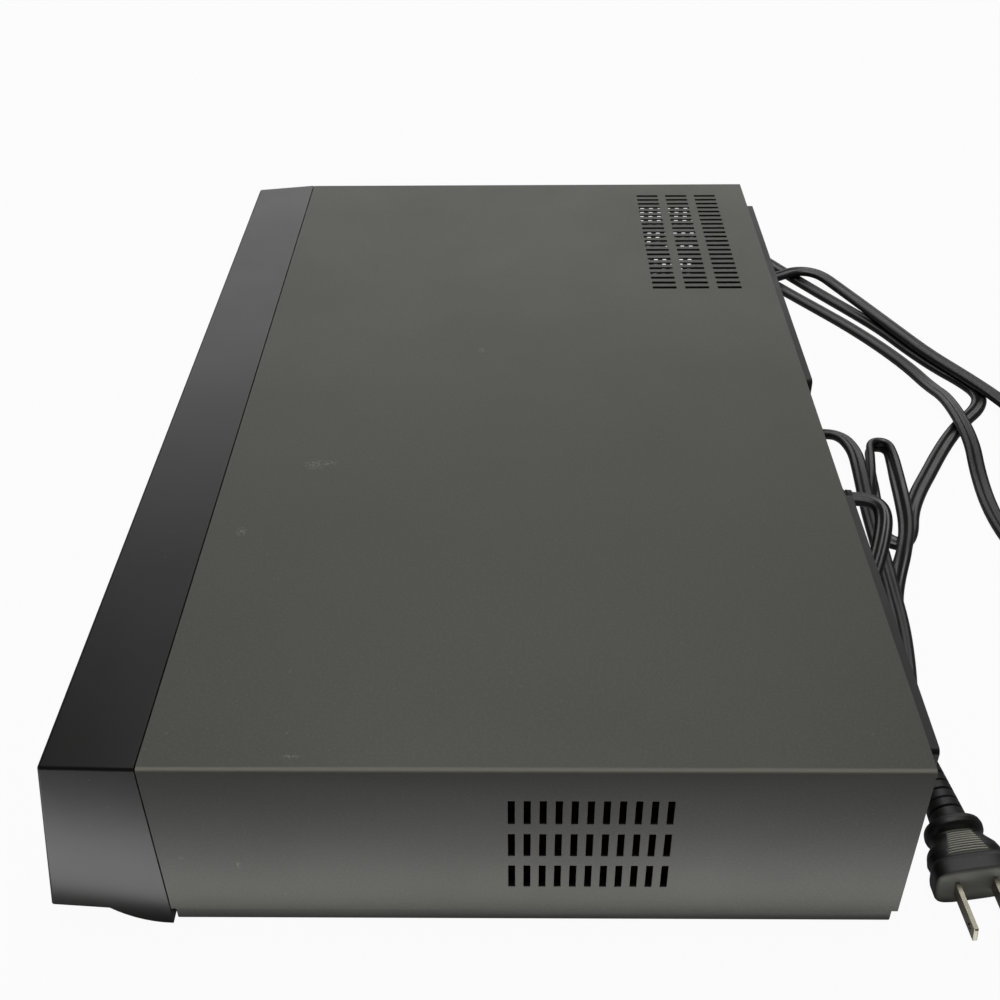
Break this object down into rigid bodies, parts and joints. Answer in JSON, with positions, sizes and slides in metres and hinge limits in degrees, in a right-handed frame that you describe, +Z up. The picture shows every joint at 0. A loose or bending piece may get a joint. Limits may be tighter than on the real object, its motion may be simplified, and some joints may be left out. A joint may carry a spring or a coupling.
{
  "type": "dvd player",
  "caption": "Full-width home disc player with a sliding tray, vented metal cover, rear sockets, mains cord and two-blade plug",
  "frame": {"origin": "on the surface the player stands on, below the middle of the case with its rear sockets", "axes": "+Z up, +Y to the rear panel, +X to the right seen from the front"},
  "size_m": [0.5355, 0.4407, 0.08],
  "materials": {
    "bottom_chassis": "plain zinc-plated sheet, grey",
    "rear_panel": "black paint on pressed sheet",
    "top_cover": "fine-grained satin paint, olive-tinted dark grey",
    "front_panel": "moulded black plastic, semi-gloss",
    "display_window": "smoked gloss plastic",
    "feet": "black rubber",
    "cover_screws": "blackened steel",
    "rear_screws": "blackened steel",
    "power_board": "brown board",
    "power_transformer": "ferrite and yellow tape",
    "capacitors": "sleeved cans",
    "heat_sink": "extruded fins",
    "line_filter": "wound coil on a base",
    "power_cord": "black flat two-core lead",
    "cord_relief": "black moulded bush",
    "plug_body": "black moulded plug with a grey-green grip",
    "plug_blades": "nickel-plated flat blades",
    "main_board": "brown board",
    "main_chips": "black packages",
    "jack_block": "black moulding",
    "jack_sleeves": "nickel-plated sleeves",
    "white_jack_ring": "white ring",
    "red_jack_rings": "red ring",
    "yellow_jack_ring": "yellow ring",
    "green_jack_ring": "green ring",
    "blue_jack_ring": "blue ring",
    "s_video_jack": "black socket",
    "loader_cable": "white flat cable",
    "display_board": "brown board",
    "display_tube": "display tube",
    "tact_switches": "small switches",
    "standoffs": "steel standoffs",
    "board_screws": "steel screws",
    "loader_screws": "steel screws",
    "loader_frame": "black moulding",
    "clamp_bridge": "plated steel sheet",
    "clamper": "light plastic",
    "tray_motor": "small motor can",
    "motor_pulley": "light plastic",
    "drive_belt": "rubber belt",
    "pulley_gear": "light plastic",
    "tray_gear": "light plastic",
    "disc_tray": "black moulding",
    "tray_door": "moulded black plastic, semi-gloss",
    "traverse_frame": "plated steel plate",
    "guide_rods": "polished rods",
    "spindle_motor": "small motor can",
    "turntable": "black hub",
    "optical_pickup": "black die-cast body",
    "objective_lens": "coated lens",
    "sled_motor": "small motor can",
    "sled_motor_gear": "light plastic",
    "sled_gear": "light plastic",
    "power_button": "moulded black plastic, semi-gloss",
    "open_button": "moulded black plastic, semi-gloss",
    "play_button": "moulded black plastic, semi-gloss",
    "stop_button": "moulded black plastic, semi-gloss",
    "pause_button": "moulded black plastic, semi-gloss",
    "skip_back_button": "moulded black plastic, semi-gloss",
    "skip_forward_button": "moulded black plastic, semi-gloss"
  },
  "bodies": {
    "case": {"bottom_chassis": "bottom_chassis", "rear_panel": "rear_panel", "top_cover": "top_cover", "front_panel": "front_panel", "display_window": "display_window", "feet": "feet", "cover_screws": "cover_screws", "rear_screws": "rear_screws", "power_board": "power_board", "power_transformer": "power_transformer", "capacitors": "capacitors", "heat_sink": "heat_sink", "line_filter": "line_filter", "power_cord": "power_cord", "cord_relief": "cord_relief", "plug_body": "plug_body", "plug_blades": "plug_blades", "main_board": "main_board", "main_chips": "main_chips", "jack_block": "jack_block", "jack_sleeves": "jack_sleeves", "white_jack_ring": "white_jack_ring", "red_jack_rings": "red_jack_rings", "yellow_jack_ring": "yellow_jack_ring", "green_jack_ring": "green_jack_ring", "blue_jack_ring": "blue_jack_ring", "s_video_jack": "s_video_jack", "loader_cable": "loader_cable", "display_board": "display_board", "display_tube": "display_tube", "tact_switches": "tact_switches", "standoffs": "standoffs", "board_screws": "board_screws", "loader_screws": "loader_screws", "loader_frame": "loader_frame", "clamp_bridge": "clamp_bridge", "tray_motor": "tray_motor", "drive_belt": "drive_belt"},
    "tray": {"disc_tray": "disc_tray", "tray_door": "tray_door"},
    "tray_wheel": {"tray_gear": "tray_gear"},
    "drive_wheel": {"pulley_gear": "pulley_gear"},
    "motor_wheel": {"motor_pulley": "motor_pulley"},
    "traverse": {"traverse_frame": "traverse_frame", "guide_rods": "guide_rods", "spindle_motor": "spindle_motor", "sled_motor": "sled_motor"},
    "spindle": {"turntable": "turntable"},
    "sled": {"optical_pickup": "optical_pickup", "objective_lens": "objective_lens"},
    "sled_wheel": {"sled_gear": "sled_gear"},
    "sled_drive": {"sled_motor_gear": "sled_motor_gear"},
    "clamp": {"clamper": "clamper"},
    "power_button_body": {"power_button": "power_button"},
    "open_button_body": {"open_button": "open_button"},
    "play_button_body": {"play_button": "play_button"},
    "stop_button_body": {"stop_button": "stop_button"},
    "pause_button_body": {"pause_button": "pause_button"},
    "skip_back_button_body": {"skip_back_button": "skip_back_button"},
    "skip_forward_button_body": {"skip_forward_button": "skip_forward_button"}
  },
  "joints": [
    {"name": "tray_slide", "type": "slide", "parent": "case", "child": "tray", "axis": [0, -1, 0], "range_m": [0, 0.135]},
    {"name": "tray_gear_turn", "type": "hinge", "parent": "case", "child": "tray_wheel", "pos_m": [-0.13585, -0.109, 0.037], "axis": [0, 0, 1], "range_deg": [0, 773.99]},
    {"name": "pulley_turn", "type": "hinge", "parent": "case", "child": "drive_wheel", "pos_m": [-0.1157, -0.109, 0.03], "axis": [0, 0, 1], "range_deg": [-1805.32, 0]},
    {"name": "motor_pulley_turn", "type": "hinge", "parent": "case", "child": "motor_wheel", "pos_m": [-0.0727, -0.109, 0.0245], "axis": [0, 0, 1], "range_deg": [-5866.15, 0]},
    {"name": "traverse_tilt", "type": "hinge", "parent": "case", "child": "traverse", "pos_m": [-0.09, 0.02, 0.037], "axis": [1, 0, 0], "range_deg": [0, 6]},
    {"name": "spindle_spin", "type": "hinge", "parent": "traverse", "child": "spindle", "pos_m": [-0.09, -0.068, 0.045], "axis": [0, 0, 1], "continuous": true},
    {"name": "clamper_spin", "type": "hinge", "parent": "case", "child": "clamp", "pos_m": [-0.09, -0.068, 0.057], "axis": [0, 0, 1], "continuous": true},
    {"name": "sled_slide", "type": "slide", "parent": "traverse", "child": "sled", "axis": [0, 1, 0], "range_m": [0, 0.035]},
    {"name": "sled_gear_turn", "type": "hinge", "parent": "traverse", "child": "sled_wheel", "pos_m": [-0.05405, -0.022, 0.041], "axis": [0, 0, 1], "range_deg": [-418.28, 0]},
    {"name": "sled_motor_turn", "type": "hinge", "parent": "traverse", "child": "sled_drive", "pos_m": [-0.04433, -0.03172, 0.0395], "axis": [0, 0, 1], "range_deg": [0, 1003.18]},
    {"name": "power_button_press", "type": "slide", "parent": "case", "child": "power_button_body", "axis": [0, 1, 0], "range_m": [0, 0.0008], "stiffness_N_per_m": 300},
    {"name": "open_button_press", "type": "slide", "parent": "case", "child": "open_button_body", "axis": [0, 1, 0], "range_m": [0, 0.0008], "stiffness_N_per_m": 300},
    {"name": "play_button_press", "type": "slide", "parent": "case", "child": "play_button_body", "axis": [0, 1, 0], "range_m": [0, 0.0008], "stiffness_N_per_m": 300},
    {"name": "stop_button_press", "type": "slide", "parent": "case", "child": "stop_button_body", "axis": [0, 1, 0], "range_m": [0, 0.0008], "stiffness_N_per_m": 300},
    {"name": "pause_button_press", "type": "slide", "parent": "case", "child": "pause_button_body", "axis": [0, 1, 0], "range_m": [0, 0.0008], "stiffness_N_per_m": 300},
    {"name": "skip_back_button_press", "type": "slide", "parent": "case", "child": "skip_back_button_body", "axis": [0, 1, 0], "range_m": [0, 0.0008], "stiffness_N_per_m": 300},
    {"name": "skip_forward_button_press", "type": "slide", "parent": "case", "child": "skip_forward_button_body", "axis": [0, 1, 0], "range_m": [0, 0.0008], "stiffness_N_per_m": 300}
  ],
  "couplings": [
    {"joint": "tray_gear_turn", "follows": "tray_slide", "rad_per_m": 100},
    {"joint": "pulley_turn", "follows": "tray_slide", "rad_per_m": -233.33},
    {"joint": "motor_pulley_turn", "follows": "tray_slide", "rad_per_m": -758.33},
    {"joint": "clamper_spin", "follows": "spindle_spin", "ratio": 1},
    {"joint": "sled_gear_turn", "follows": "sled_slide", "rad_per_m": -208.33},
    {"joint": "sled_motor_turn", "follows": "sled_slide", "rad_per_m": 500}
  ]
}
